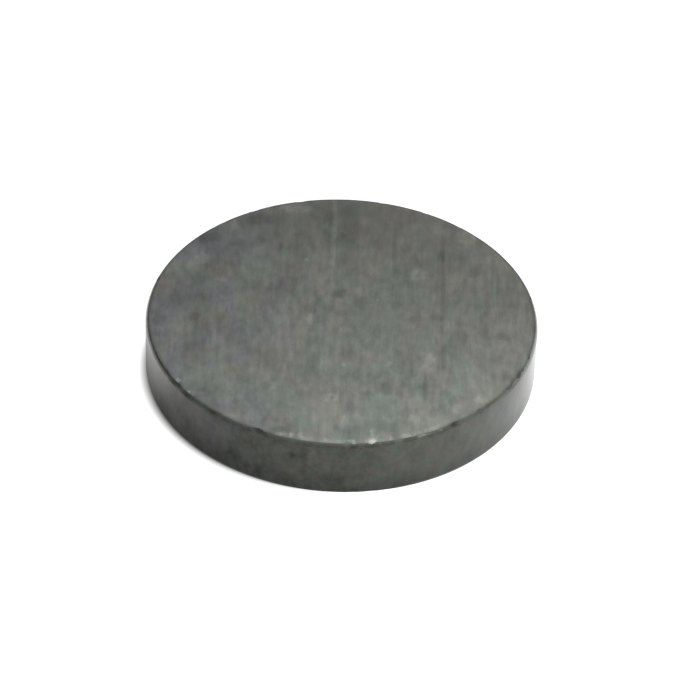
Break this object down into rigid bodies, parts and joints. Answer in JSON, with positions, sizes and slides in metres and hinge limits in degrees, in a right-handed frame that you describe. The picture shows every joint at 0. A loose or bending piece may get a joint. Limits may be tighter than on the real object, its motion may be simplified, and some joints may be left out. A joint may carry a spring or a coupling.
{
  "type": "disc magnet",
  "caption": "Flat round ceramic permanent magnet with two ground faces, a plain outer wall and a rounded, lightly chipped edge, for holding to steel or gluing into a round pocket.",
  "frame": {"origin": "centre of the lower ground face", "axes": "+Z through the thickness, towards the upper face; the grinding lines run along Y"},
  "size_m": [0.025, 0.025, 0.004],
  "materials": {
    "ferrite": "matte grey hard ferrite: ground faces with fine parallel lines, darker as-sintered wall"
  },
  "bodies": {
    "root": {"disc_magnet": "ferrite"}
  },
  "joints": []
}
